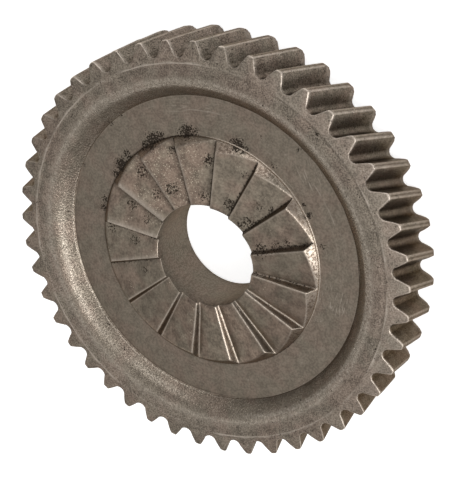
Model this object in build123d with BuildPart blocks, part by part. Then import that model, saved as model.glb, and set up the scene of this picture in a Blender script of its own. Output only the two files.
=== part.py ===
from build123d import *
import os
from math import acos, atan2, cos, degrees, pi, radians, sin, tan

# A one-piece helical gear with a face clutch, lying on its flat back face
# Lengths in mm, angles in degrees, +Z up out of the clutch face
# The origin is on the bore axis in the back face, +X runs through a tooth at the front

# Helical teeth
tooth_count = 45
normal_module = 1.5
helix_angle = 16.0
pressure_angle = 25.0
addendum = 1.5
dedendum = 1.2
root_sag = 0.4
face_width = 11.3
tip_edge_break = 0.25
back_tip_rounding = 1.2
back_tip_facets = 3

# Rim ring between the teeth and the recess
rim_edge_inset = 0.41
rim_width = 3.2
rim_rise = 0.45
rim_crown = 0.08

# Recess, with a forged wall from the rim's rounded lip down to a small turned shoulder and floor
recess_depth = 2.15
recess_wall_angle = 48.0
lip_rounding = 2.0
shoulder_height = 0.25
shoulder_angle = 75.0

# Bore
bore_diameter = 18.0
bore_back_chamfer = 0.8

# Face clutch, a crown of saw teeth standing on the recess floor
saw_count = 16
saw_height = 1.85
saw_ramp_angle = 11.4
saw_drive_angle = 64.0
saw_crest_rounding = 0.15
saw_offset = 0.4
saw_phase = 14.4
crown_radius = 20.4
crown_step = 0.22
crown_flank_angle = 48.0
crown_root = 1.0

# Sections of the cutter for one tooth gap
flank_points = 3
gap_sections = 4
cutter_margin = 1.0

# Gear geometry in the transverse plane
transverse_module = normal_module / cos(radians(helix_angle))
transverse_pressure = atan2(tan(radians(pressure_angle)), cos(radians(helix_angle)))
pitch_radius = tooth_count * transverse_module / 2
tip_radius = pitch_radius + addendum
root_radius = pitch_radius - dedendum
base_radius = pitch_radius * cos(transverse_pressure)
twist_per_mm = degrees(tan(radians(helix_angle)) / pitch_radius)
pitch_step = 360 / tooth_count

# Heights above the back face
floor_height = face_width - recess_depth
crest_height = floor_height + saw_height
rim_height = face_width + rim_rise
bore_radius = bore_diameter / 2

# The rim is set in from the tooth roots, the wall from the rim, and the floor from the wall
rim_edge_radius = root_radius - rim_edge_inset
lip_radius = rim_edge_radius - rim_width
wall_top_radius = lip_radius - lip_rounding * sin(radians(recess_wall_angle))
wall_top_height = rim_height - lip_rounding * (1 - cos(radians(recess_wall_angle)))
wall_foot_height = floor_height + shoulder_height
wall_rise = wall_top_height - wall_foot_height
wall_foot_radius = wall_top_radius - wall_rise / tan(radians(recess_wall_angle))
recess_radius = wall_foot_radius - shoulder_height / tan(radians(shoulder_angle))


def involute(angle):
    return tan(angle) - angle


def half_gap(radius):
    # half the width of a tooth gap at this radius, as an angle in radians
    flank = involute(acos(base_radius / radius)) - involute(transverse_pressure)
    return pi / (2 * tooth_count) + flank


def flank_point(radius, side):
    angle = side * half_gap(radius)
    return (radius * cos(angle), radius * sin(angle))


def back_corner(turn):
    # a point on the rounded back corner of a tooth tip, from the back face up to the tip
    inset = back_tip_rounding * (1 - sin(radians(turn)))
    return (tip_radius - inset, back_tip_rounding * (1 - cos(radians(turn))))


# The cutter for one tooth gap, centred half a pitch from +X at the front plane
# Each section is turned with its height, which makes a right-hand helix
cutter_length = rim_height + 2 * cutter_margin
flank_start = root_radius + root_sag
flank_length = tip_radius + cutter_margin - flank_start
flank_radii = [flank_start + flank_length * n / (flank_points - 1) for n in range(flank_points)]
with BuildPart() as tooth_gap:
    for section in range(gap_sections):
        height = cutter_length * section / (gap_sections - 1) - cutter_margin
        turn = pitch_step / 2 + twist_per_mm * (height - face_width)
        with BuildSketch(Plane.XY.offset(height).rotated((0, 0, turn))):
            with BuildLine():
                left = Spline([flank_point(radius, 1) for radius in flank_radii])
                right = Spline([flank_point(radius, -1) for radius in flank_radii])
                Line(left @ 1, right @ 1)
                ThreePointArc(left @ 0, (root_radius, 0), right @ 0)
            make_face()
    loft(ruled=True)

# One saw tooth, its crest along +X, its drive face to +Y and its ramp to -Y
saw_root = floor_height - crown_root
saw_rise = crest_height - saw_root
ramp_run = saw_rise / tan(radians(saw_ramp_angle))
drive_run = saw_rise / tan(radians(saw_drive_angle))
with BuildPart() as saw_tooth:
    with BuildSketch(Plane.YZ.offset(bore_radius / 2)) as saw_profile:
        with BuildLine():
            crest = (-saw_offset, crest_height)
            ramp_end = (-saw_offset - ramp_run, saw_root)
            drive_end = (-saw_offset + drive_run, saw_root)
            Polyline(ramp_end, crest, drive_end, close=True)
        make_face()
        fillet(saw_profile.vertices().sort_by(Axis.Z)[-1:], radius=saw_crest_rounding)
    extrude(amount=crown_radius)

# The crown of saw teeth, trimmed to a short step and a conical outer flank
flank_run = (saw_height - crown_step) / tan(radians(crown_flank_angle))
with BuildPart() as clutch_crown:
    with PolarLocations(0, saw_count, start_angle=saw_phase):
        add(saw_tooth.part)
    with BuildSketch(Plane.XZ):
        with BuildLine():
            Polyline(
                (0, saw_root),
                (crown_radius, saw_root),
                (crown_radius, floor_height + crown_step),
                (crown_radius - flank_run, crest_height),
                (0, crest_height),
                close=True,
            )
        make_face()
    revolve(axis=Axis.Z, mode=Mode.INTERSECT)

# The gear, turned to its half section, then cut with gaps, crowned and bored
with BuildPart() as helical_gear:
    with BuildSketch(Plane.XZ):
        with BuildLine():
            corner = [back_corner(90 * n / back_tip_facets) for n in range(back_tip_facets + 1)]
            rim_edge = (rim_edge_radius, rim_height)
            Polyline(
                (0, 0),
                *corner,
                (tip_radius, face_width - tip_edge_break),
                (tip_radius - tip_edge_break, face_width),
                rim_edge,
            )
            crown_top = ((rim_edge_radius + lip_radius) / 2, rim_height + rim_crown)
            lip = (lip_radius, rim_height)
            wall_top = (wall_top_radius, wall_top_height)
            ThreePointArc(rim_edge, crown_top, lip)
            TangentArc(lip, wall_top, tangent=(-1, 0))
            Polyline(
                wall_top,
                (wall_foot_radius, wall_foot_height),
                (recess_radius, floor_height),
                (0, floor_height),
                (0, 0),
            )
        make_face()
    revolve(axis=Axis.Z)
    with PolarLocations(0, tooth_count):
        add(tooth_gap.part, mode=Mode.SUBTRACT)
    add(clutch_crown.part)
    with Locations((0, 0, crest_height)):
        Hole(bore_radius, depth=crest_height)
    bore_edge = helical_gear.edges().filter_by(GeomType.CIRCLE).filter_by_position(Axis.Z, 0, 0)
    chamfer(bore_edge.sort_by(SortBy.RADIUS)[:1], length=bore_back_chamfer)

helical_gear.part.label = "helical_gear"

os.makedirs("parts", exist_ok=True)
export_step(helical_gear.part, "parts/helical_gear.step")
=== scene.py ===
import bpy
import math
import numpy as np
from mathutils import Matrix, Vector
from types import SimpleNamespace


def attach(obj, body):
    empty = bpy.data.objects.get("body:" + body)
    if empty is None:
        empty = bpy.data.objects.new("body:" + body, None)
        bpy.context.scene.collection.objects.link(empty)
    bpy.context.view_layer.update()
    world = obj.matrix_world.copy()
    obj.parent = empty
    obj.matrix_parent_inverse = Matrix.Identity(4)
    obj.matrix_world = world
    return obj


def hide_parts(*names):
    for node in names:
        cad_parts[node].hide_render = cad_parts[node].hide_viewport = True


# Helical gear with a face clutch, lying on its back face, +Z out of the clutch
# Sizes are in mm and become metres when the mesh is made, angles are in degrees
# Headings run clockwise from +X seen from the front: 0 top, 90 right, 180 bottom, 270 left

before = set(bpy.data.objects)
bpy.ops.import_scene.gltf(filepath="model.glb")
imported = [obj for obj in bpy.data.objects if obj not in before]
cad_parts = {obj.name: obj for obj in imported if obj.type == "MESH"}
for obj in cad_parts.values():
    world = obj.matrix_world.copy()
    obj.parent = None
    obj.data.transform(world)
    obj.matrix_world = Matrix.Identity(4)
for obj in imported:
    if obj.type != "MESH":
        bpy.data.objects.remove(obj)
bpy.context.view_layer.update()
print("frame loaded")

mm = 0.001


def feed(tree, value, socket):
    # a socket is linked, a plain value is set
    if isinstance(value, bpy.types.NodeSocket):
        tree.links.new(value, socket)
    else:
        socket.default_value = value


def addNode(tree, kind, values=None, **settings):
    node = tree.nodes.new(kind)
    for name, value in settings.items():
        setattr(node, name, value)
    for name, value in (values or {}).items():
        feed(tree, value, node.inputs[name])
    return node


def mathNode(tree, operation, a, b, clamp=False):
    node = addNode(tree, "ShaderNodeMath", {0: a, 1: b}, operation=operation, use_clamp=clamp)
    return node.outputs[0]


def times(tree, a, b, clamp=False):
    return mathNode(tree, "MULTIPLY", a, b, clamp)


def plus(tree, a, b, clamp=False):
    return mathNode(tree, "ADD", a, b, clamp)


def minus(tree, a, b):
    return mathNode(tree, "SUBTRACT", a, b)


def vectorNode(tree, operation, a, values=None, output="Vector"):
    values = {0: a, **(values or {})}
    return addNode(tree, "ShaderNodeVectorMath", values, operation=operation).outputs[output]


def noiseNode(tree, place, scale, detail, roughness):
    values = {"Vector": place, "Scale": scale, "Detail": detail, "Roughness": roughness}
    return addNode(tree, "ShaderNodeTexNoise", values).outputs["Fac"]


def mixColour(tree, factor, a, b, blend="MIX"):
    values = {0: factor, 6: a, 7: b}
    return addNode(tree, "ShaderNodeMix", values, data_type="RGBA", blend_type=blend).outputs[2]


def rampNode(tree, value, low, high, toLow=0.0, toHigh=1.0):
    values = {0: value, 1: low, 2: high, 3: toLow, 4: toHigh}
    node = addNode(tree, "ShaderNodeMapRange", values, clamp=True, interpolation_type="SMOOTHSTEP")
    return node.outputs[0]


socketKinds = {"Place": "Vector", "Rings": "Vector", "Middle": "Vector", "Tint": "Color"}


def newGroup(name, inputs, outputs):
    group = bpy.data.node_groups.new(name, "ShaderNodeTree")
    for direction, labels in (("INPUT", inputs), ("OUTPUT", outputs)):
        for label in labels:
            kind = "NodeSocket" + socketKinds.get(label, "Float")
            group.interface.new_socket(name=label, in_out=direction, socket_type=kind)
    start, end = group.nodes.new("NodeGroupInput"), group.nodes.new("NodeGroupOutput")
    return group, start.outputs, end.inputs


def placeGroup(tree, group, values):
    return addNode(tree, "ShaderNodeGroup", values, node_tree=group).outputs


def newMaterial(name):
    material = bpy.data.materials.new(name)
    material.use_nodes = True
    tree = material.node_tree
    return material, tree, tree.nodes["Principled BSDF"]


def addObject(name, data):
    thing = bpy.data.objects.new(name, data)
    bpy.context.scene.collection.objects.link(thing)
    return thing


def sinDeg(angle):
    return math.sin(math.radians(angle))


def cosDeg(angle):
    return math.cos(math.radians(angle))


def tanDeg(angle):
    return math.tan(math.radians(angle))


gearSettings = {
    # teeth
    "toothCount": 45,
    "columnsPerTooth": 16,     # points across a tooth and its two half gaps, as in toothProfile
    "normalModule": 1.5,
    "helixAngle": 16.0,
    "pressureAngle": 25.0,
    "addendum": 1.5,
    "skin": 0.01,              # the mesh stays this far inside the tips of the solid
    "dedendum": 1.2,
    "rootSag": 0.4,
    "faceWidth": 11.3,
    "tipLandBreak": 0.2,       # rounded edge along both sides of a tooth tip
    "frontBreak": 0.11,        # worn edge where flanks and tips meet the tooth ends
    "backBreak": 0.25,
    "backTipRounding": 1.2,
    # rim ring
    "rimEdgeRadius": 33.05,
    "rimRise": 0.45,
    "rimCrown": 0.06,
    "rimValley": 0.07,         # shallow dip just inside the rim's edge
    "lipRadius": 30.3,
    "lipRounding": 2.0,
    # recess
    "recessDepth": 2.15,
    "recessWallAngle": 43.2,
    "driftAllRound": 0.08,     # the forged wall stands out all round,
    "driftMost": 0.26,         # and this much more towards one heading
    "driftHeading": 64.0,
    "floorShoulder": 0.25,     # steep little step where the floor is cut into the forged wall
    "shoulderAngle": 75.0,
    "scratchRadius": 24.65,    # one arc scratch in the floor
    "scratchWidth": 0.17,
    # bore
    "boreRadius": 9.0,
    "boreFrontBreak": 0.1,
    "boreBackChamfer": 0.8,
    # crown of saw teeth
    "sawCount": 16,
    "sawHeight": 1.85,
    "sawRampAngle": 11.4,
    "sawDriveAngle": 64.0,
    "sawOffset": 0.4,
    "sawPhase": 14.4,
    "sawCrestRounding": 0.26,  # how softly the faces of the saw teeth run together
    "sawFootRounding": 0.28,
    "sawFlankRounding": 0.24,
    "crownRadius": 20.4,
    "crownStep": 0.22,
    "crownFlankAngle": 48.0,
    # slow unevenness of forged faces and of the pressed saw teeth
    "forgedWave": 0.022,
    "coinedWave": 0.03,
    # where the points lie: rings on the back, the floor and the rim, steps along the other faces
    "toothEndSteps": (0.0, 0.12, 0.4, 0.75, 1.0),
    "flankSteps": (0.06, 0.18, 0.34, 0.5, 0.66, 0.82, 1.0),
    "backCornerTurns": (12, 25, 38, 51, 63, 74, 83, 90),
    "backRings": (33.4, 32.0, 28.0, 23.0, 18.0, 14.0, 11.5),
    "boreSteps": (0.12, 0.4, 0.7, 1.0),
    "innerFloorRings": (20.8, 21.1, 21.45, 21.9, 22.5, 23.4),
    "outerFloorRings": (25.6, 26.3),
    "wallSteps": (0.0, 0.2, 0.4, 0.6, 0.8, 1.0),
    "lipTurns": (0.84, 0.68, 0.52, 0.36, 0.2, 0.0),
    "rimRings": (30.8, 31.3, 31.7, 32.0, 32.25, 32.45, 32.65, 32.83),
    # wear, painted highlights, painted shade and dirt on one side of the gear: heading, reach,
    # fade and amount
    "sides": {
        "toothEndsRight": (75, 45, 25, 0.15),
        "flanksLowerRight": (130, 22, 25, 1),
        "flanksUpperLeft": (335, 18, 25, 1),
        "flanksRight": (70, 42, 25, 1),
        "rimEdgeUnlit": (32, 12, 12, 0.65),
        "rimEdgeBright": (150, 8, 12, 0.6),
        "boreBottom": (165, 20, 30, 1),
        "boreUpperLeft": (310, 20, 30, 1),
        "boreDark": (230, 25, 25, 0.12),
        "boreEdgeBright": (285, 35, 15, 0.7),
        "clutchLow": (175, 60, 25, 1),
        "clutchRight": (75, 40, 25, 1),
        "clutchLeft": (285, 22, 12, 1),
        "clutchUpperLeft": (327, 30, 18, 1),
        "clutchRimBright": (60, 55, 12, 1),
        "clutchRimShade": (315, 45, 25, 1),
        "clutchRimDark": (245, 55, 25, 1),
        "clutchRough": (85, 10, 12, 0.5),
        "crownLineGap": (150, 20, 25, 0.5),
        "crownLineWide": (250, 70, 25, 1),
        "scratchRight": (61, 7, 3, 0.7),
        "scratchTop": (1, 6, 3, 0.6),
        "floorEdgeDark": (225, 50, 25, 1),
        "floorEdgeBright": (60, 90, 25, 0.35),
        "wallFootBright": (238, 45, 25, 1),
        "wallFootDark": (80, 75, 35, 1),
        "glintOutwards": (243, 6, 20, 0.25),
        "glintInwards": (205, 8, 15, 0.25),
        "glintLeft": (252, 14, 22, 1),
        "glintLow": (202, 7, 10, 0.7),
        "shadeInsideGlint": (258, 34, 12, 0.5),
        "shadeOutsideGlint": (205, 10, 12, 0.75),
        "bendTop": (350, 18, 14, 1),
        "bendLowerRight": (120, 38, 12, 1),
        "wallSpecks": (240, 28, 14, 0.3),
        "rimDullTop": (0, 8, 20, 1),
        "rimDullLowerRight": (130, 30, 30, 0.4),
        "rimDullRight": (50, 30, 25, 0.45),
        "rimLitSkin": (228, 35, 35, 0.2),
    },
    # bands that run round the gear, most of them painted highlights and painted shade: radius and
    # width
    "bands": {
        "specks": (28.2, 0.9),
        "glint": (28.45, 0.36),
        "shadeOutsideGlint": (29.05, 0.3),
        "bend": (29.3, 0.5),
        "lip": (30.3, 0.45),
        "dip": (32.5, 0.28),
    },
    # widths of the painted highlights, the painted shade and the dark specks along the edges of
    # the saw teeth
    "crestLine": 0.2,
    "crispCrestLine": 0.15,
    "footLine": 0.16,
    "footDarkSpecks": 0.34,
    "footShade": 0.17,
    "coneLine": 0.07,
    "rimLine": 0.14,
    "rimShade": 0.3,
    "rimDark": 0.12,
    # burnt-in specks in small patches: place in mm, size and amount
    "sootPatches": [
        # round the foot of the crown
        (18.4, 9.6, 1.2, 1.2), (17.3, 11.2, 0.8, 1.0), (19.4, 8.3, 0.8, 1.0),
        (13.2, 16.1, 1.1, 1.2), (11.4, 17.3, 0.7, 1.0), (15.2, 14.9, 0.8, 0.9),
        (20.9, 3.0, 1.1, 1.1), (20.5, 4.3, 0.7, 0.8), (21.0, 1.5, 0.6, 0.8),
        (6.4, 20.0, 0.7, 0.9), (4.7, 20.4, 0.7, 0.9), (19.9, -6.3, 1.0, 1.1),
        (20.2, -5.2, 0.6, 0.8), (19.2, -7.6, 0.6, 0.8), (17.1, -12.5, 0.6, 0.6),
        (9.7, -18.5, 0.6, 1.0), (11.4, -17.7, 0.3, 1.2), (4.8, -20.9, 0.5, 0.7),
        # on the saw teeth
        (17.4, 5.5, 0.8, 0.77), (13.0, 11.6, 1.1, 0.77), (9.5, 8.8, 0.8, 0.77),
        (10.9, 5.6, 1.1, 0.77), (16.9, -1.3, 0.9, 0.94), (10.7, -0.4, 0.9, 0.77),
        (6.6, 13.9, 0.9, 0.77), (4.6, 11.1, 0.8, 0.68), (1.6, 18.3, 1.0, 0.68),
        (0.5, 13.7, 1.0, 0.68), (15.5, -7.8, 0.6, 0.59), (9.9, -5.1, 1.1, 0.85),
        (10.3, -10.3, 0.7, 0.68), (10.0, -12.4, 0.4, 0.94), (7.2, -8.4, 1.1, 0.77),
        (6.4, -6.8, 0.8, 0.77), (3.1, -10.7, 1.2, 0.77), (3.9, -13.2, 1.0, 0.68),
        (4.6, -15.0, 0.6, 0.77), (-4.8, 11.9, 0.7, 0.68),
        # on the floor, the wall and the rim
        (15.9, 22.0, 0.4, 0.9), (20.2, 17.6, 0.5, 0.8), (22.2, 15.5, 0.4, 0.7),
        (12.1, 24.1, 0.5, 0.7), (21.8, -10.3, 0.5, 0.7), (20.5, -17.0, 0.4, 0.6),
        (15.2, -29.2, 0.3, 0.9), (16.1, -24.6, 0.25, 0.8), (5.8, -30.4, 0.25, 0.8),
        (17.8, -26.7, 0.25, 0.8), (24.4, -21.3, 0.3, 0.8), (25.2, -20.0, 0.25, 0.7),
        (23.2, -22.2, 0.25, 0.7), (-10.2, -31.5, 0.5, 1.1), (-17.5, 21.0, 0.3, 0.9),
        (-29.2, 14.2, 0.3, 0.9), (27.8, -12.1, 0.3, 0.8), (24.7, -17.9, 0.3, 0.8),
        (-3.6, 28.8, 0.3, 0.7), (3.3, 27.4, 0.3, 0.7), (-21.4, 17.7, 0.35, 0.6),
        (-29.8, 7.9, 0.3, 0.7), (-22.9, -17.6, 0.3, 0.7), (-16.9, -25.8, 0.35, 0.7),
    ],
}
gearSettings["rimHeight"] = gearSettings["faceWidth"] + gearSettings["rimRise"]
gearSettings["floorHeight"] = gearSettings["faceWidth"] - gearSettings["recessDepth"]

columnCount = gearSettings["toothCount"] * gearSettings["columnsPerTooth"]
columnsPerSaw = columnCount // gearSettings["sawCount"]

finishes = ["cutTeeth", "blastedRing", "forgedWall", "turnedFloor", "coinedClutch", "boredWall"]


def waves(x, y, seed, count, slow, fast):
    # slow unevenness as a sum of sines, between about -1 and 1
    draw = np.random.default_rng(seed)
    total = np.zeros(np.broadcast(x, y).shape)
    for _ in range(count):
        turns = draw.uniform(slow, fast)
        heading = draw.uniform(0, 2 * math.pi)
        start = draw.uniform(0, 2 * math.pi)
        along = x * math.cos(heading) + y * math.sin(heading)
        total += np.sin(2 * math.pi * turns * along + start)
    return total / math.sqrt(count)


def sootAmount(s, x, y):
    total = np.zeros(np.broadcast(x, y).shape)
    for px, py, size, amount in s["sootPatches"]:
        near = 1.8 * np.exp(-((x - px) ** 2 + (y - py) ** 2) / size ** 2)
        total = np.maximum(total, amount * np.minimum(near, 1.0))
    return total


def side(s, name, angle):
    # the full amount within reach of a heading, fading to 0
    middle, reach, fade, amount = s["sides"][name]
    away = np.abs((-np.degrees(angle) - middle + 180) % 360 - 180)
    return amount * np.clip((reach + fade - away) / fade, 0, 1)


def bell(away, width):
    # 1 on a line, fading to both sides of it
    return np.exp(-(away / width) ** 2)


def band(s, name, radius):
    middle, width = s["bands"][name]
    return bell(radius - middle, width)


def most(*amounts):
    total = amounts[0]
    for amount in amounts[1:]:
        total = np.maximum(total, amount)
    return total


def softMin(a, b, width):
    h = np.clip(0.5 + 0.5 * (b - a) / width, 0, 1)
    return b * (1 - h) + a * h - width * h * (1 - h)


def softMax(a, b, width):
    return -softMin(-a, -b, width)


class GearRows:
    # the whole surface is one closed band of rings, each with the same number of points
    def __init__(self):
        self.radius, self.angle, self.height, self.finish = [], [], [], []
        # wear also holds painted highlights, grime also holds painted shade, rough also lightens
        # some places as painted light, and shade is painted shade
        self.wear, self.grime, self.rough, self.shade = [], [], [], []

    def add(self, radius, angle, height, finish, wear=0.0, grime=0.0, rough=0.0, shade=0.0):
        for store, value in (
            (self.radius, radius), (self.angle, angle), (self.height, height),
            (self.wear, wear), (self.grime, grime), (self.rough, rough), (self.shade, shade),
        ):
            store.append(np.broadcast_to(np.asarray(value, float), (columnCount,)).copy())
        self.finish.append(finishes.index(finish))


def toothProfile(s):
    # one tooth and its two half gaps in the transverse plane, seen from the tooth's middle
    count = s["toothCount"]
    helixCos = cosDeg(s["helixAngle"])
    pressure = math.atan2(tanDeg(s["pressureAngle"]), helixCos)
    pitchRadius = count * (s["normalModule"] / helixCos) / 2
    baseRadius = pitchRadius * math.cos(pressure)
    tipRadius = pitchRadius + s["addendum"] - s["skin"]
    rootRadius = pitchRadius - s["dedendum"]

    def halfTooth(radius):
        local = math.acos(baseRadius / radius)
        lean = (math.tan(local) - local) - (math.tan(pressure) - pressure)
        return math.pi / (2 * count) - lean

    halfPitch = math.pi / count
    flankStart = rootRadius + s["rootSag"]
    flankEnd = tipRadius - s["tipLandBreak"]
    startAngle = halfTooth(flankStart)
    half = [
        (rootRadius, halfPitch),
        (rootRadius + 0.25 * s["rootSag"], halfPitch - 0.5 * (halfPitch - startAngle)),
        (flankStart, startAngle),
    ]
    for step in (0.38, 0.72, 1.0):
        radius = flankStart + step * (flankEnd - flankStart)
        half.append((radius, halfTooth(radius)))
    # the rounded edge passes a little under halfway from its chord to the sharp corner
    landStart = halfTooth(tipRadius) - s["tipLandBreak"] / tipRadius
    pull = 0.46
    middleRadius = (flankEnd + tipRadius) / 2
    middleAngle = (halfTooth(flankEnd) + landStart) / 2
    half.append((
        middleRadius + pull * (tipRadius - middleRadius),
        middleAngle + pull * (halfTooth(tipRadius) - middleAngle),
    ))
    half.append((tipRadius, landStart))
    radii = [p[0] for p in half] + [tipRadius] + [p[0] for p in half[:0:-1]]
    angles = [-p[1] for p in half] + [0.0] + [p[1] for p in half[:0:-1]]
    return SimpleNamespace(
        count=count, radii=np.array(radii), angles=np.array(angles), tipRadius=tipRadius,
        halfPitch=halfPitch, twist=tanDeg(s["helixAngle"]) / pitchRadius)


def insetProfile(profile, inset):
    # the profile moved into the metal by an amount for each point, all round the gear
    pitch = 2 * profile.halfPitch
    r = np.tile(profile.radii, profile.count)
    a = np.concatenate([profile.angles + k * pitch for k in range(profile.count)])
    x, y = r * np.cos(a), r * np.sin(a)
    dx, dy = np.roll(x, -1) - np.roll(x, 1), np.roll(y, -1) - np.roll(y, 1)
    size = np.hypot(dx, dy)
    x = x - inset * dy / size
    y = y + inset * dx / size
    moved = np.arctan2(y, x)
    moved = a + (moved - a + math.pi) % (2 * math.pi) - math.pi
    return np.hypot(x, y), moved


def endHeight(s, tip, radius):
    # the tooth ends lie on a slight cone that rises to the rim's edge
    return s["faceWidth"] + s["rimRise"] * (tip - radius) / (tip - s["rimEdgeRadius"])


def toothColumns(s):
    # where each column of points stands in its tooth, how worn and highlighted the edges are
    # there, and where the roots and lands get painted shade
    profile = toothProfile(s)
    index = np.arange(columnCount)
    inTooth = index % s["columnsPerTooth"]
    heading = 2 * profile.halfPitch * (index // s["columnsPerTooth"])

    def columns(*numbers):
        # 0 stands in the middle of a gap and 8 in the middle of a tip
        return np.isin(inTooth, numbers).astype(float)

    tipEnd = columns(6, 7, 8, 9, 10)
    onFlank = (inTooth > 2) & (inTooth < 14)
    flanksRight = side(s, "flanksRight", heading) * columns(3, 4, 5, 11, 12, 13, 14)
    flanksUpperLeft = side(s, "flanksUpperLeft", heading) * onFlank
    # worn edges are a little uneven from place to place
    uneven = np.clip(1 + 0.35 * waves(index, 0, 7, 18, 0.01, 0.3), 0.45, 1.5)
    frontBreak = s["frontBreak"] * uneven * (1 + 0.8 * tipEnd) * (1 + 0.7 * flanksRight)
    rimEdge = np.clip(0.5 + 0.8 * waves(index, 0, 9, 14, 0.004, 0.04), 0, 1)
    rimEdge = rimEdge * (1 - side(s, "rimEdgeUnlit", heading))
    endRadius, endAngle = insetProfile(profile, frontBreak)
    endRise = endHeight(s, profile.tipRadius, endRadius) - s["faceWidth"]
    return SimpleNamespace(
        profile=profile, heading=heading, frontBreak=frontBreak, tipEnd=tipEnd,
        even=(index / columnCount) * 2 * math.pi - profile.halfPitch,
        landEdge=columns(6, 7, 9, 10), tipLand=columns(7, 8, 9), rootCorner=columns(2, 14),
        rootDark=0.25 * columns(0) + 0.42 * columns(1, 15) + 0.85 * columns(2, 14),
        flankLine=most(side(s, "flanksLowerRight", heading), flanksUpperLeft, flanksRight),
        rimEdgeWear=0.85 * most(rimEdge, side(s, "rimEdgeBright", heading)),
        endRadius=endRadius, endAngle=endAngle + profile.twist * endRise)


def addTeeth(rows, s, teeth):
    profile, frontBreak = teeth.profile, teeth.frontBreak
    tip = profile.tipRadius

    def addRing(radius, angle, height, **marksAndLight):
        turned = angle + profile.twist * (height - s["faceWidth"])
        rows.add(radius, turned, height, "cutTeeth", **marksAndLight)

    # tooth ends, from the rim's edge outwards
    edge = s["rimEdgeRadius"]
    for step in s["toothEndSteps"]:
        radius = edge + step * (teeth.endRadius - edge)
        # the rim's edge is worn and carries a painted highlight, and the tooth ends are lightened
        # towards the right as painted light
        wear = teeth.rimEdgeWear if step == 0 else side(s, "toothEndsRight", teeth.heading)
        rows.add(radius, teeth.endAngle, endHeight(s, tip, radius), "blastedRing", wear=wear)

    # worn edge with a painted highlight, then the flanks down to the back, with painted highlights
    # on the land edges and painted shade in the roots and on the tip lands
    edgeWear = most(teeth.tipEnd, teeth.flankLine, 0.35)
    for turn, share in ((35, 1), (65, 1), (90, 0.3)):
        radius, angle = insetProfile(profile, frontBreak * (1 - sinDeg(turn)))
        height = endHeight(s, tip, radius) - frontBreak * (1 - cosDeg(turn))
        addRing(radius, angle, height, wear=edgeWear * share)
    radius, angle = insetProfile(profile, 0.0)
    startHeight = endHeight(s, tip, radius) - frontBreak
    rounding = s["backTipRounding"]
    for step in s["flankSteps"]:
        height = startHeight + step * (rounding + 0.1 - startHeight)
        addRing(radius, angle, height, wear=0.32 * teeth.landEdge,
                grime=0.45 * teeth.rootCorner + 0.12 * teeth.tipLand,
                shade=np.maximum(teeth.rootDark, 0.24 * teeth.tipLand))

    # rounded back corners of the tips, and a small break along the whole back edge
    for turn in s["backCornerTurns"]:
        height = rounding * (1 - sinDeg(turn))
        over = max(0.0, s["backBreak"] - height) / s["backBreak"]
        inset = s["backBreak"] * (1 - math.sqrt(1 - over ** 2))
        radius, angle = insetProfile(profile, inset)
        radius = softMin(radius, tip - rounding * (1 - cosDeg(turn)), 0.12)
        # painted shade in the roots here too
        addRing(radius, angle, height, wear=0.15, grime=0.35 * teeth.rootCorner,
                shade=teeth.rootDark * 0.6)
    rows.finish[-1] = finishes.index("turnedFloor")


def addBack(rows, s, teeth):
    # flat back face, in to the bore's chamfer
    outerRadius, outerAngle = rows.radius[-1], rows.angle[-1]
    boreAngles = sawAngles(s, s["boreRadius"])[0]
    inner = s["boreRadius"] + s["boreBackChamfer"]
    backEven = teeth.even - teeth.profile.twist * s["faceWidth"]
    outermost = s["backRings"][0]
    for radius in (*s["backRings"], inner + 0.05):
        blend = (outermost - radius) / (outermost - inner)
        lean = min(1.0, (outerRadius.max() - radius) / 6)
        angle = outerAngle * (1 - lean) + backEven * lean
        angle = angle * (1 - blend) + boreAngles * blend
        rows.add(radius, angle, 0.0, "turnedFloor", wear=0.6 if blend > 0.99 else 0.0)


def addBore(rows, s):
    radius, chamfer, frontBreak = s["boreRadius"], s["boreBackChamfer"], s["boreFrontBreak"]
    angles = sawAngles(s, radius)[0]
    # painted shade: a dark line where the back chamfer meets the bore wall
    for outwards, height, shade in (
        (chamfer - 0.05, 0.05, 0), (0.05, chamfer - 0.05, 0.6),
        (0, chamfer + 0.07, 1), (0, chamfer + 0.3, 0.5),
    ):
        rows.add(radius + outwards, angles, height, "boredWall", shade=shade)
    top, _ = sawHeights(s, radius, angles)
    start = chamfer + 0.07
    # painted light on two sides of the bore wall, painted shade on its lowest part and on one
    # side, and a painted highlight along the front edge
    wear = 0.12 * (side(s, "boreBottom", angles) + side(s, "boreUpperLeft", angles))
    for step in s["boreSteps"]:
        height = start + step * (top - frontBreak - start)
        shade = 0.25 if step < 0.2 else side(s, "boreDark", angles)
        rows.add(radius, angles, height, "boredWall", wear=wear, shade=shade)
    rows.add(radius + frontBreak * 0.3, angles, top - frontBreak * 0.3, "coinedClutch",
             wear=0.3 + side(s, "boreEdgeBright", angles))


def closeSteps(width, near, count):
    # steps across a face, close beside its foot and crest, even between
    middle = np.linspace(near[-1], width - near[-1], count + 2)[1:-1]
    return [0.0] + near + list(middle) + [width - n for n in near[::-1]]


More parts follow.
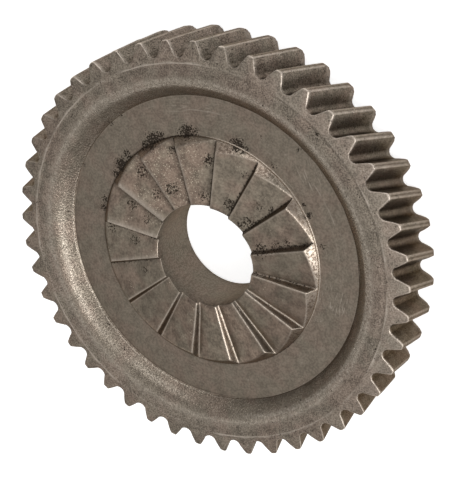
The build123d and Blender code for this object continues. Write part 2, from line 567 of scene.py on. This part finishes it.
def sawAngles(s, radius):
    # angles of all columns at this radius: valley, up the ramp, crest, down the drive face, valley
    step = 2 * math.pi / s["sawCount"]
    ramp, drive = tanDeg(s["sawRampAngle"]), tanDeg(s["sawDriveAngle"])
    alongSine = drive + ramp * math.cos(step)
    alongCosine = ramp * math.sin(step)
    reach = math.hypot(alongSine, alongCosine)
    lean = math.atan2(alongCosine, alongSine)
    shift = (drive + ramp) * s["sawOffset"]
    valley = lean - math.asin(shift / (radius * reach))
    crest = -math.asin(s["sawOffset"] / radius)
    rampNear = [n / radius for n in (0.06, 0.13, 0.24)]
    driveNear = [n / radius for n in (0.05, 0.11, 0.19)]
    driveSteps = closeSteps(valley - crest, driveNear, 4)
    rampCount = columnsPerSaw - len(driveSteps) - 2 * len(rampNear) - 1
    rampSteps = closeSteps(crest - (valley - step), rampNear, rampCount)
    one = np.array([valley - step + n for n in rampSteps] + [crest + n for n in driveSteps])
    phase = math.radians(s["sawPhase"])
    angles = np.concatenate([one + phase + step * k for k in range(s["sawCount"])])
    # the distances to the nearest crest and valley, and 1 on the drive faces
    toCrest = np.abs(one - crest) * radius
    toValley = np.minimum(np.abs(one - valley), np.abs(one - (valley - step))) * radius
    return angles, *np.tile([toCrest, toValley, one >= crest], s["sawCount"])


def sawHeights(s, radius, angles):
    # the roof of ramps and drive faces, with the conical outer flank of the crown
    step = 2 * math.pi / s["sawCount"]
    ramp, drive = tanDeg(s["sawRampAngle"]), tanDeg(s["sawDriveAngle"])
    crest = s["floorHeight"] + s["sawHeight"]
    roof = np.full(angles.shape, -1e3)
    for k in range(-1, s["sawCount"] + 1):
        local = angles - math.radians(s["sawPhase"]) - step * k
        across = radius * np.sin(local)
        near = np.cos(local) > 0.7
        tooth = softMin(
            crest + ramp * (across + s["sawOffset"]),
            crest - drive * (across + s["sawOffset"]),
            s["sawCrestRounding"],
        )
        roof = np.where(near, softMax(roof, tooth, s["sawFootRounding"]), roof)
    flank = s["crownRadius"] - radius
    cone = s["floorHeight"] + s["crownStep"] + flank * tanDeg(s["crownFlankAngle"])
    return softMin(roof, cone, s["sawFlankRounding"]), roof - cone


def addClutch(rows, s):
    # saw teeth, outwards over the conical flank to the floor
    crown, floor = s["crownRadius"], s["floorHeight"]
    inner = np.linspace(s["boreRadius"] + s["boreFrontBreak"], 18.2, 15)
    outer = np.linspace(18.5, crown - 0.05, 17)
    for radius in [*inner, *outer]:
        angle, crestNear, valleyNear, onDrive = sawAngles(s, radius)
        height, inCone = sawHeights(s, radius, angle)
        x, y = radius * np.cos(angle), radius * np.sin(angle)
        settle = np.clip((height - floor) / 0.6, 0, 1)
        height = height + s["coinedWave"] * settle * waves(x, y, 11, 16, 0.05, 0.35)
        height = np.maximum(height, floor)
        low, right, left, upperLeft = (
            side(s, "clutch" + name, angle) for name in ("Low", "Right", "Left", "UpperLeft"))
        spandrel = np.clip(inCone / 0.12, 0, 1)  # the faces between the teeth, on the cone
        toRim = crown - radius
        # bright lines along the crests, the feet, the cone's edge and the rim of the crown:
        # painted highlights, with some wear on the crests and feet
        crestWidth = s["crestLine"] + (1 - onDrive) * (0.4 * left + 0.15 * upperLeft)
        crestWear = bell(crestNear, crestWidth)
        crestWear = crestWear * np.clip(0.42 + 0.5 * low + 0.35 * left + 0.15 * upperLeft, 0, 1)
        crestWear = most(crestWear, bell(crestNear, s["crispCrestLine"]) * 1.25 * left)
        footWear = bell(valleyNear, s["footLine"]) * 0.75 * low
        coneWear = bell(inCone, s["coneLine"]) * (0.35 + 0.65 * right)
        rimWear = bell(toRim, s["rimLine"]) * (0.1 + 0.9 * side(s, "clutchRimBright", angle))
        wear = most(most(crestWear, footWear) * (1 - 0.6 * spandrel), coneWear, rimWear)
        # painted shade: the lowest part of a ramp is dark where the next crest hides its foot, and
        # the drive faces and the crown's rim on some sides are dark too
        footReach = s["footShade"] + (0.26 + 0.024 * radius) * upperLeft
        footShade = bell(valleyNear, footReach) * (1 - np.maximum(low, spandrel))
        driveShade = onDrive * np.clip(crestNear / 0.12, 0, 1) * np.clip(valleyNear / 0.12, 0, 1)
        shade = most(driveShade * (1 - spandrel), footShade,
                     bell(toRim, s["rimShade"]) * side(s, "clutchRimShade", angle),
                     bell(toRim, s["rimDark"]) * side(s, "clutchRimDark", angle))
        footDarkSpecks = bell(valleyNear, s["footDarkSpecks"]) * (1 - spandrel) * (0.74 - 0.5 * low)
        # rough skin on the faces between the teeth, lightened towards the right as painted light
        rows.add(radius, angle, height, "coinedClutch", wear=wear, shade=shade,
                 grime=most(footDarkSpecks, sootAmount(s, x, y)),
                 rough=spandrel * (0.2 + 0.3 * right + side(s, "clutchRough", angle)))


def recessWall(s, even):
    # the wall's run and heights, from the floor's edge up to the bend over the lip
    wall = SimpleNamespace(lean=math.radians(s["recessWallAngle"]))
    wall.coneTop = s["lipRadius"] - s["lipRounding"] * math.sin(wall.lean)
    wall.topHeight = s["rimHeight"] - s["lipRounding"] * (1 - math.cos(wall.lean))
    wall.shoulderRun = s["floorShoulder"] / tanDeg(s["shoulderAngle"])
    rise = wall.topHeight - s["floorHeight"] - s["floorShoulder"]
    wall.foot = wall.coneTop - rise / math.tan(wall.lean) - wall.shoulderRun
    towards = np.cos(-even - math.radians(s["driftHeading"]))
    wall.drift = s["driftAllRound"] + s["driftMost"] * towards
    return wall


def addFloor(rows, s, even, wall):
    # foot of the crown and the turned floor
    crown, floor, scratch = s["crownRadius"], s["floorHeight"], s["scratchRadius"]
    crownAngles = sawAngles(s, crown)[0]
    # painted highlight along the foot of the crown on the right, painted shade with dark specks
    # along the rest of it
    brightLine = side(s, "clutchRimBright", crownAngles)
    darkLine = 1 - np.maximum(brightLine, side(s, "crownLineGap", crownAngles))
    rows.add(crown, crownAngles, floor + 0.02, "coinedClutch",
             wear=brightLine, grime=0.9 * (1 - brightLine), shade=darkLine)
    crownFoot, besideCrown = crown + 0.05, crown + 0.18
    edgeStart, edgeDark, edgeBright = wall.foot - 0.36, wall.foot - 0.18, wall.foot - 0.04
    for radius in (
        crownFoot, besideCrown, *s["innerFloorRings"],
        scratch - s["scratchWidth"], scratch, scratch + s["scratchWidth"],
        *s["outerFloorRings"], edgeStart, edgeDark, edgeBright,
    ):
        blend = (radius - crown) / (wall.foot - crown)
        angle = crownAngles * (1 - blend) + even * blend
        grime = sootAmount(s, radius * np.cos(angle), radius * np.sin(angle))
        wear, shade = 0.0, 0.0
        if radius == crownFoot:
            wear, grime, shade = brightLine, 0.85 * (1 - brightLine), darkLine
        elif radius == besideCrown:
            shade = 0.75 * darkLine * side(s, "crownLineWide", angle)
        elif radius == scratch:
            wear = most(side(s, "scratchRight", angle), side(s, "scratchTop", angle))
            wear = wear * np.clip(0.6 + waves(angle * 20, 0, 51, 12, 0.1, 0.9), 0, 1)
        # painted shade and a painted highlight along the floor's edge
        elif radius == edgeDark:
            shade = side(s, "floorEdgeDark", angle)
        elif radius == edgeBright:
            wear = side(s, "floorEdgeBright", angle)
        outwards = wall.drift if radius >= edgeStart else 0.0
        rows.add(radius + outwards, angle, floor, "turnedFloor",
                 wear=wear, grime=grime, shade=shade)


def addWall(rows, s, even, wall):
    # steep shoulder, conical wall and the bend over the lip
    floor, lip, bend = s["floorHeight"], s["lipRadius"], s["lipRounding"]
    shoulder = floor + s["floorShoulder"] * (1 + 0.3 * waves(even * 6, 0, 41, 14, 0.1, 1.2))
    # painted shade at the wall's foot on the right, and a painted highlight with some wear at the
    # foot, strongest at the lower left
    footDark = side(s, "wallFootDark", even)
    footWear = 0.15 + 0.4 * side(s, "wallFootBright", even)
    for radius, height, wear in (
        (wall.foot, floor + 0.03, 0.0),
        (wall.foot + wall.shoulderRun * 0.9, shoulder - 0.03, footWear),
        (wall.foot + wall.shoulderRun + 0.04, shoulder + 0.03, footWear),
    ):
        rows.add(radius + wall.drift, even, height, "forgedWall", wear=wear, shade=footDark)
    start = wall.foot + wall.shoulderRun + 0.2
    places = []
    for step in s["wallSteps"]:
        radius = start + step * (wall.coneTop - start)
        places.append((radius, wall.topHeight - (wall.coneTop - radius) * math.tan(wall.lean)))
    for share in s["lipTurns"]:
        turn = share * wall.lean
        places.append((lip - bend * math.sin(turn), s["rimHeight"] - bend * (1 - math.cos(turn))))
    for radius, height in places:
        x, y = radius * np.cos(even), radius * np.sin(even)
        settle = math.sin(math.pi * min(1.0, (radius - wall.foot) / (lip - wall.foot))) ** 0.5
        bulge = s["forgedWave"] * waves(x, y, 21, 16, 0.03, 0.25) * settle
        # a painted highlight: a narrow bright band along the wall at the left, with painted shade
        # beside it and at the wall's foot
        middle, width = s["bands"]["glint"]
        middle = middle + side(s, "glintOutwards", even) - side(s, "glintInwards", even)
        glint = bell(radius - middle, width)
        glint = glint * most(side(s, "glintLeft", even), side(s, "glintLow", even))
        paintedShade = most(
            side(s, "shadeInsideGlint", even) * np.clip((28.1 - radius) / 0.3, 0, 1),
            side(s, "shadeOutsideGlint", even) * band(s, "shadeOutsideGlint", radius),
            footDark * bell(radius - wall.foot - 0.2, 0.55))
        # painted highlights on the bend over the lip at the top and lower right, and along the lip
        # all round
        bendWear = 0.55 * band(s, "bend", radius)
        bendWear = bendWear * most(side(s, "bendTop", even), side(s, "bendLowerRight", even))
        specks = side(s, "wallSpecks", even) * band(s, "specks", radius)
        outwards = wall.drift * max(0.0, (lip - radius) / (lip - wall.foot))
        rows.add(radius + outwards, even, height + bulge, "forgedWall",
                 wear=most(0.36 * band(s, "lip", radius), 0.3 * glint, bendWear),
                 grime=most(sootAmount(s, x, y), specks),
                 rough=0.46 * glint + 0.3 * specks, shade=paintedShade)


def addRim(rows, s, teeth):
    # crowned rim ring out to its edge, with a shallow dip before the edge
    edge, lip, top = s["rimEdgeRadius"], s["lipRadius"], s["rimHeight"]
    for radius in s["rimRings"]:
        step = (radius - lip) / (edge - lip)
        angle = teeth.even * (1 - step) + teeth.endAngle * step
        rise = s["rimCrown"] * math.sin(math.pi * min(1.0, step / 0.8))
        dip = s["rimValley"] * band(s, "dip", radius)
        x, y = radius * np.cos(angle), radius * np.sin(angle)
        bulge = s["forgedWave"] * np.minimum(waves(x, y, 31, 16, 0.03, 0.3), 0.4)
        # painted shade across the ring at the top and on the right, painted light on its rough
        # skin at the lower left, and a painted highlight along the lip
        paintedShade = most(*(side(s, "rimDull" + name, angle) for name in ("Top", "LowerRight", "Right")))
        paintedShade = paintedShade * math.sin(math.pi * step) ** 0.5
        rows.add(radius, angle, top + rise - dip + bulge * (1 - step), "blastedRing",
                 wear=0.36 * band(s, "lip", radius), grime=sootAmount(s, x, y),
                 rough=side(s, "rimLitSkin", angle), shade=0.45 * paintedShade)
    rows.add(edge - 0.08, teeth.endAngle, top + 0.005, "blastedRing", wear=teeth.rimEdgeWear)


def buildRows(s):
    rows = GearRows()
    teeth = toothColumns(s)
    wall = recessWall(s, teeth.even)
    addTeeth(rows, s, teeth)
    addBack(rows, s, teeth)
    addBore(rows, s)
    addClutch(rows, s)
    addFloor(rows, s, teeth.even, wall)
    addWall(rows, s, teeth.even, wall)
    addRim(rows, s, teeth)
    return rows


def buildGear(s):
    rows = buildRows(s)
    radius, angle, height = (np.array(v) for v in (rows.radius, rows.angle, rows.height))
    rowCount = len(radius)
    points = np.stack([radius * np.cos(angle), radius * np.sin(angle), height], -1) * mm
    points[..., 2] = np.clip(points[..., 2], 0.0, None)
    below = np.arange(rowCount * columnCount).reshape(rowCount, columnCount)
    beside = np.roll(below, -1, axis=1)
    above, aboveBeside = np.roll(below, -1, axis=0), np.roll(beside, -1, axis=0)
    quads = np.stack([below, above, aboveBeside, beside], -1).reshape(-1, 4)
    mesh = bpy.data.meshes.new("gearBody")
    mesh.from_pydata(points.reshape(-1, 3).tolist(), [], quads.tolist())
    finish = np.repeat(rows.finish, columnCount).astype(np.int32)
    mesh.polygons.foreach_set("material_index", finish)
    mesh.polygons.foreach_set("use_smooth", np.ones(len(quads), bool))
    marksAndLight = mesh.color_attributes.new("surfaceMarksAndLight", "FLOAT_COLOR", "POINT")
    values = np.stack([rows.wear, rows.grime, rows.rough, rows.shade], -1).astype(np.float32)
    marksAndLight.data.foreach_set("color", values.ravel())
    mesh.update()
    print("gear mesh", rowCount, "rows", len(quads) * 2, "triangles")
    return addObject("gearBody", mesh)


gearBody = buildGear(gearSettings)


def makePlaceGroup():
    # the place on the gear in mm, and its heading as a unit vector with the radius as third value
    group, _, end = newGroup("gearPlace", [], ["Place", "Rings"])
    place = addNode(group, "ShaderNodeTexCoord").outputs["Object"]
    place = vectorNode(group, "SCALE", place, {"Scale": 1 / mm})
    flat = vectorNode(group, "MULTIPLY", place, {1: (1, 1, 0)})
    radius = vectorNode(group, "LENGTH", flat, output="Value")
    heading = addNode(group, "ShaderNodeSeparateXYZ", {0: vectorNode(group, "NORMALIZE", flat)})
    rings = addNode(group, "ShaderNodeCombineXYZ", {
        0: heading.outputs[0], 1: heading.outputs[1], 2: radius})
    feed(group, place, end["Place"])
    feed(group, rings.outputs[0], end["Rings"])
    return group


def makeGrainGroup():
    # speckled skin of forged and blasted steel, with pits, bright flecks and slow shifts of tint
    group, start, end = newGroup(
        "steelGrain", ["Place", "Scale", "Pits", "Flecks"],
        ["Tone", "Slow Tone", "Tint", "Pit Mask", "Fleck Mask", "Height"])

    def noise(scale, detail, shift=0.0, roughness=0.55):
        place = vectorNode(group, "ADD", start["Place"], {1: (shift, shift, shift)})
        return noiseNode(group, place, scale, detail, roughness)

    fine = noise(start["Scale"], 3.0)
    slow = noise(0.55, 5.0, roughness=0.65)
    tint = rampNode(group, noise(0.2, 2.0, 31.0), 0.4, 0.62)
    tint = mixColour(group, tint, (0.97, 1.012, 0.985, 1), (1.05, 0.98, 0.965, 1))
    cells = addNode(group, "ShaderNodeTexVoronoi", {
        "Vector": start["Place"], "Scale": 1.7, "Randomness": 1.0})
    pit = rampNode(group, cells.outputs["Distance"], 0.12, 0.24, 1.0, 0.0)
    limit = minus(group, 0.78, times(group, start["Pits"], 0.3))
    chosen = rampNode(group, noise(0.6, 2.0, 57.0), limit, plus(group, limit, 0.05))
    pit = times(group, pit, chosen)
    sparkle = rampNode(group, noise(4.6, 2.0, 11.0), 0.6, 0.68)
    limit = minus(group, 0.8, times(group, start["Flecks"], 0.45))
    chosen = rampNode(group, noise(0.4, 2.0, 83.0), limit, plus(group, limit, 0.12))
    feed(group, rampNode(group, fine, 0.38, 0.62), end["Tone"])
    feed(group, rampNode(group, slow, 0.36, 0.64), end["Slow Tone"])
    feed(group, tint, end["Tint"])
    feed(group, pit, end["Pit Mask"])
    feed(group, times(group, sparkle, chosen), end["Fleck Mask"])
    feed(group, minus(group, fine, times(group, pit, 0.8)), end["Height"])
    return group


def makeTurningGroup():
    # fine rings and a few arc scratches that run round the bore
    group, start, end = newGroup("turningMarks", ["Rings"], ["Tone", "Scratch"])
    fine = vectorNode(group, "MULTIPLY", start["Rings"], {1: (2.2, 2.2, 9.0)})
    few = vectorNode(group, "MULTIPLY", start["Rings"], {1: (4.5, 4.5, 2.6)})
    feed(group, noiseNode(group, fine, 1.0, 3.0, 0.6), end["Tone"])
    lines = noiseNode(group, few, 1.0, 4.0, 0.55)
    feed(group, rampNode(group, lines, 0.64, 0.7), end["Scratch"])
    return group


def makeStrokesGroup():
    # short fine strokes side by side, within a round patch
    group, start, end = newGroup(
        "strokePatch", ["Place", "Middle", "Heading", "Reach"], ["Stroke"])
    away = vectorNode(group, "DISTANCE", start["Place"], {1: start["Middle"]}, "Value")
    inner = times(group, start["Reach"], 0.4)
    patch = rampNode(group, away, inner, start["Reach"], 1.0, 0.0)
    turned = addNode(group, "ShaderNodeVectorRotate", {
        "Vector": start["Place"], "Angle": times(group, start["Heading"], -1.0),
    }, rotation_type="Z_AXIS")
    stretched = vectorNode(group, "MULTIPLY", turned.outputs[0], {1: (0.5, 4.2, 0.0)})
    stroke = rampNode(group, noiseNode(group, stretched, 1.0, 2.0, 0.5), 0.57, 0.66)
    feed(group, times(group, stroke, patch), end["Stroke"])
    return group


def makeMarksAndLightGroup():
    # wear and painted highlights, dark specks of grime and painted shade, rough skin that is
    # partly painted light, and painted shade: all carried by the mesh and broken up by noise
    group, start, end = newGroup(
        "surfaceMarksAndLight", ["Place", "Break Up", "Break Scale"], ["Wear", "Grime And Shade", "Rough Skin And Sheen", "Shade"])
    layer = addNode(group, "ShaderNodeAttribute", attribute_name="surfaceMarksAndLight")
    parts = addNode(group, "ShaderNodeSeparateColor", {0: layer.outputs["Color"]})
    wear, grime, rough = parts.outputs
    noise = noiseNode(group, start["Place"], start["Break Scale"], 4.0, 0.6)
    swing = times(group, minus(group, noise, 0.5), start["Break Up"])
    swing = plus(group, times(group, swing, 4.0), 0.9)
    feed(group, times(group, wear, swing, clamp=True), end["Wear"])
    # the amount of grime and painted shade sets how much of the surface its dark specks cover
    specks = noiseNode(group, start["Place"], 3.4, 2.0, 0.5)
    level = minus(group, 0.7, times(group, grime, 0.31))
    cover = rampNode(group, specks, level, plus(group, level, 0.09))
    feed(group, times(group, cover, rampNode(group, grime, 0.02, 0.2)), end["Grime And Shade"])
    feed(group, rough, end["Rough Skin And Sheen"])
    patchy = rampNode(group, noise, 0.2, 0.7, 0.6, 1.0)
    feed(group, times(group, layer.outputs["Alpha"], patchy), end["Shade"])
    return group


whereGroup = makePlaceGroup()
grainGroup = makeGrainGroup()
turningGroup = makeTurningGroup()
strokesGroup = makeStrokesGroup()
marksAndLightGroup = makeMarksAndLightGroup()

# what the finishes share unless one says otherwise
commonFinish = {
    "metal": 0.95,
    "breakUp": 0.5,            # how strongly and how finely the wear and painted highlights are broken up
    "breakScale": 1.6,
    "tintShift": 0.55,
    "scratches": 0.5,
    "fleckShare": 0.75,
    "roughAndSheenShare": 0.9,
    "dirtAndShadeShare": 0.85,
    "wearAndHighlightPolish": 0.1,         # worn and highlighted places are this much smoother, and places with dirt and painted shade this much rougher
    "dirtAndShadeRoughness": 0.3,      # and dirty ones this much rougher
    "bumpDistance": 0.2,
    "strokes": [],             # patches of strokes: middle, heading, reach and amount
}

steelFinishes = {
    "cutTeeth": {
        "base": (0.214, 0.178, 0.145, 1), "dark": (0.072, 0.059, 0.047, 1),
        "wornAndHighlight": (0.72, 0.63, 0.54, 1), "grimeAndShadeTone": (0.035, 0.027, 0.02, 1),
        "edgeTint": (0.4, 0.35, 0.3, 1), "roughness": 0.4, "spread": 0.14, "grainScale": 4.5,
        "pits": 1.15, "flecks": 0.45, "bump": 0.32, "turned": 0.0, "slow": 0.35, "shade": 0.7,
    },
    "blastedRing": {
        "base": (0.465, 0.388, 0.317, 1), "dark": (0.176, 0.145, 0.117, 1),
        "wornAndHighlight": (0.68, 0.59, 0.5, 1), "grimeAndShadeTone": (0.06, 0.048, 0.038, 1),
        "edgeTint": (0.72, 0.64, 0.56, 1), "roughness": 0.52, "spread": 0.12, "grainScale": 4.0,
        "pits": 0.8, "flecks": 0.7, "bump": 0.35, "turned": 0.0, "slow": 0.38, "shade": 0.5,
    },
    "forgedWall": {
        "base": (0.42, 0.349, 0.283, 1), "dark": (0.21, 0.172, 0.138, 1),
        "wornAndHighlight": (0.74, 0.65, 0.545, 1), "grimeAndShadeTone": (0.045, 0.036, 0.028, 1),
        "edgeTint": (0.72, 0.64, 0.56, 1), "roughness": 0.35, "spread": 0.2, "grainScale": 3.8,
        "pits": 0.6, "flecks": 0.7, "bump": 0.6, "turned": 0.35, "slow": 0.3, "shade": 0.5,
        "metal": 0.97, "breakUp": 1.3, "breakScale": 2.5,
    },
    "turnedFloor": {
        "base": (0.355, 0.294, 0.236, 1), "dark": (0.23, 0.19, 0.151, 1),
        "wornAndHighlight": (0.5, 0.43, 0.36, 1), "grimeAndShadeTone": (0.035, 0.027, 0.021, 1),
        "edgeTint": (0.66, 0.58, 0.5, 1), "roughness": 0.48, "spread": 0.08, "grainScale": 2.6,
        "pits": 0.3, "flecks": 0.52, "bump": 0.09, "turned": 0.6, "slow": 0.5, "shade": 0.5,
        "strokes": [
            ((16.5, -18.8, 9.15), 20, 3.4, 0.85), ((-4.5, -22.6, 9.15), -11, 4.2, 0.85),
            ((24.2, 4.5, 9.15), 100, 3.0, 0.55), ((24.8, -2.3, 9.15), 91, 2.4, 0.5),
        ],
    },
    "coinedClutch": {
        "base": (0.398, 0.325, 0.258, 1), "dark": (0.203, 0.165, 0.131, 1),
        "wornAndHighlight": (0.68, 0.585, 0.49, 1), "grimeAndShadeTone": (0.035, 0.027, 0.021, 1),
        "edgeTint": (0.66, 0.57, 0.48, 1), "roughness": 0.4, "spread": 0.12, "grainScale": 2.4,
        "pits": 0.4, "flecks": 0.46, "bump": 0.16, "turned": 0.1, "slow": 0.62, "shade": 0.7,
        "metal": 0.97, "tintShift": 0.8, "fleckTone": (1.0, 0.88, 0.68, 1),
        # warmer and more flecked near one place on the face
        "warmPatch": (14.0, 8.0, 10.5), "warmReach": (5.0, 13.0), "warmFlecks": 0.55,
        "warmTint": (1.02, 0.99, 0.985, 1),
    },
    "boredWall": {
        "base": (0.262, 0.219, 0.176, 1), "dark": (0.168, 0.14, 0.112, 1),
        "wornAndHighlight": (0.5, 0.43, 0.36, 1), "grimeAndShadeTone": (0.04, 0.031, 0.024, 1),
        "edgeTint": (0.36, 0.32, 0.28, 1), "roughness": 0.52, "spread": 0.05, "grainScale": 3.0,
        "pits": 0.3, "flecks": 0.2, "bump": 0.1, "turned": 0.2, "slow": 0.2, "shade": 0.5,
    },
}


def steelMaterial(name, s):
    material, tree, shader = newMaterial(name)
    where = placeGroup(tree, whereGroup, {})
    place = where["Place"]
    flecks = s["flecks"]
    if "warmPatch" in s:
        away = vectorNode(tree, "DISTANCE", place, {1: s["warmPatch"]}, "Value")
        warm = rampNode(tree, away, *s["warmReach"], 1.0, 0.0)
        flecks = plus(tree, times(tree, warm, s["warmFlecks"]), flecks)
    grain = placeGroup(tree, grainGroup, {
        "Place": place, "Scale": s["grainScale"], "Pits": s["pits"], "Flecks": flecks})
    turning = placeGroup(tree, turningGroup, {"Rings": where["Rings"]})
    marksAndLight = placeGroup(tree, marksAndLightGroup, {
        "Place": place, "Break Up": s["breakUp"], "Break Scale": s["breakScale"]})

    # the bare steel, from its grain, turning and tint
    fine = times(tree, grain["Tone"], 1 - s["slow"])
    tone = plus(tree, fine, times(tree, grain["Slow Tone"], s["slow"]))
    rings = times(tree, minus(tree, turning["Tone"], 0.5), s["turned"])
    tone = plus(tree, tone, rings, clamp=True)
    colour = mixColour(tree, tone, s["dark"], s["base"])
    colour = mixColour(tree, s["tintShift"], colour, grain["Tint"], "MULTIPLY")

    # brighter marks: scratches, strokes, flecks, rough skin and worn edges, and the painted
    # highlights carried with the rough skin and the wear
    scratch = times(tree, turning["Scratch"], s["turned"] * s["scratches"])
    colour = mixColour(tree, scratch, colour, s["wornAndHighlight"])
    if "warmPatch" in s:
        warmed = mixColour(tree, 1.0, colour, s["warmTint"], "MULTIPLY")
        colour = mixColour(tree, warm, colour, warmed)
    for middle, heading, reach, amount in s["strokes"]:
        patch = placeGroup(tree, strokesGroup, {
            "Place": place, "Middle": middle, "Heading": math.radians(heading), "Reach": reach})
        colour = mixColour(tree, times(tree, patch["Stroke"], amount), colour, s["wornAndHighlight"])
    fleckMask = times(tree, grain["Fleck Mask"], s["fleckShare"])
    colour = mixColour(tree, fleckMask, colour, s.get("fleckTone", s["wornAndHighlight"]))
    roughSkinAndSheen = times(tree, times(tree, marksAndLight["Rough Skin And Sheen"], grain["Tone"]), s["roughAndSheenShare"])
    colour = mixColour(tree, roughSkinAndSheen, colour, s["wornAndHighlight"])
    colour = mixColour(tree, marksAndLight["Wear"], colour, s["wornAndHighlight"])

    # darker marks: painted shade, pits, and grime with painted shade
    colour = mixColour(tree, times(tree, marksAndLight["Shade"], s["shade"]), colour, s["grimeAndShadeTone"])
    dirtAndShade = mathNode(tree, "MAXIMUM", marksAndLight["Grime And Shade"], grain["Pit Mask"])
    colour = mixColour(tree, times(tree, dirtAndShade, s["dirtAndShadeShare"]), colour, s["grimeAndShadeTone"])

    half = s["spread"] / 2
    rough = rampNode(tree, grain["Tone"], 0.0, 1.0, s["roughness"] + half, s["roughness"] - half)
    rough = minus(tree, rough, times(tree, marksAndLight["Wear"], s["wearAndHighlightPolish"]))
    rough = plus(tree, rough, times(tree, dirtAndShade, s["dirtAndShadeRoughness"]), clamp=True)
    bump = addNode(tree, "ShaderNodeBump", {
        "Strength": s["bump"], "Distance": s["bumpDistance"] * mm, "Height": grain["Height"]})
    for value, socket in (
        (s["metal"], "Metallic"), (s["edgeTint"], "Specular Tint"), (colour, "Base Color"),
        (rough, "Roughness"), (bump.outputs[0], "Normal"),
    ):
        feed(tree, value, shader.inputs[socket])
    return material


for name in finishes:
    gearBody.data.materials.append(steelMaterial(name, {**commonFinish, **steelFinishes[name]}))
print("steel finishes made")

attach(gearBody, "root")
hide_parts("helical_gear")


floorSettings = {
    "size": 3.0,
    "drop": 0.0001,
    "colour": (0.9, 0.9, 0.9, 1),
    "roughness": 0.8,
    "specular": 0.1,
    "glow": 0.75,              # only the camera and reflections see this light
}


def buildFloor(s):
    half, z = s["size"] / 2, -s["drop"]
    mesh = bpy.data.meshes.new("floor")
    corners = [(-half, -half, z), (half, -half, z), (half, half, z), (-half, half, z)]
    mesh.from_pydata(corners, [], [(0, 1, 2, 3)])
    floor = addObject("floor", mesh)
    material, tree, shader = newMaterial("paleFloor")
    shader.inputs["Base Color"].default_value = s["colour"]
    shader.inputs["Roughness"].default_value = s["roughness"]
    shader.inputs["Specular IOR Level"].default_value = s["specular"]
    path = addNode(tree, "ShaderNodeLightPath").outputs
    seen = mathNode(tree, "MAXIMUM", path["Is Camera Ray"], path["Is Glossy Ray"])
    seen = mathNode(tree, "MAXIMUM", seen, path["Is Transmission Ray"])
    glow = addNode(tree, "ShaderNodeEmission", {
        "Color": (1, 1, 1, 1), "Strength": times(tree, seen, s["glow"])})
    both = addNode(tree, "ShaderNodeAddShader", {0: shader.outputs[0], 1: glow.outputs[0]})
    feed(tree, both.outputs[0], tree.nodes["Material Output"].inputs["Surface"])
    mesh.materials.append(material)


# azimuth, elevation and distance of each lamp, its width and height, and its brightness
lampSettings = {
    "tallSoftbox": (-98, 33, 0.9, 0.36, 0.95, 3.1),
    "wideSoftbox": (-7, 32, 0.9, 0.62, 0.36, 1.5),
    "overheadBox": (-130, 78, 0.9, 1.5, 1.5, 0.35),
    "backStrip": (132, 14, 1.2, 0.4, 0.6, 0.7),
}


def buildLamps(lamps):
    for name, (azimuth, elevation, distance, width, height, brightness) in lamps.items():
        across = cosDeg(elevation)
        place = Vector((cosDeg(azimuth) * across, sinDeg(azimuth) * across, sinDeg(elevation)))
        place = place * distance
        lamp = bpy.data.lights.new(name, "AREA")
        lamp.shape = "RECTANGLE"
        lamp.size, lamp.size_y = width, height
        lamp.energy = brightness * math.pi * width * height
        holder = addObject(name, lamp)
        holder.location = place
        holder.rotation_euler = (-place).to_track_quat("-Z", "Y").to_euler()


worldSettings = {
    "light": 0.34,
    "backdrop": 1.0,           # what the camera sees behind the floor
}


def buildWorld(s):
    world = bpy.data.worlds.new("studio")
    world.use_nodes = True
    tree = world.node_tree
    back = tree.nodes["Background"]
    back.inputs["Color"].default_value = (1, 1, 1, 1)
    path = addNode(tree, "ShaderNodeLightPath").outputs
    strength = rampNode(tree, path["Is Camera Ray"], 0.0, 1.0, s["light"], s["backdrop"])
    feed(tree, strength, back.inputs["Strength"])
    bpy.context.scene.world = world


# where the photograph was taken from: place in mm, then the directions of right, up and back
cameraSettings = {
    "place": (92.1, -106.2, 189.8),
    "right": (-0.0335, -0.8772, -0.4789),
    "up": (0.9183, 0.1622, -0.3613),
    "back": (0.3946, -0.4519, 0.8001),
    "lens": 103.30,
    "sensorHeight": 36.0,
    "clipStart": 0.01,
    "clipEnd": 20.0,
}


def buildCamera(s):
    data = bpy.data.cameras.new("camera")
    data.sensor_fit = "VERTICAL"
    data.sensor_height = s["sensorHeight"]
    data.lens = s["lens"]
    data.clip_start, data.clip_end = s["clipStart"], s["clipEnd"]
    camera = addObject("camera", data)
    turn = Matrix([s["right"], s["up"], s["back"]]).transposed().to_quaternion().to_matrix()
    camera.matrix_world = Matrix.Translation(Vector(s["place"]) * mm) @ turn.to_4x4()
    bpy.context.scene.camera = camera


buildFloor(floorSettings)
buildLamps(lampSettings)
buildWorld(worldSettings)
buildCamera(cameraSettings)
bpy.context.scene.view_settings.view_transform = "Standard"
print("floor, lamps and camera set")
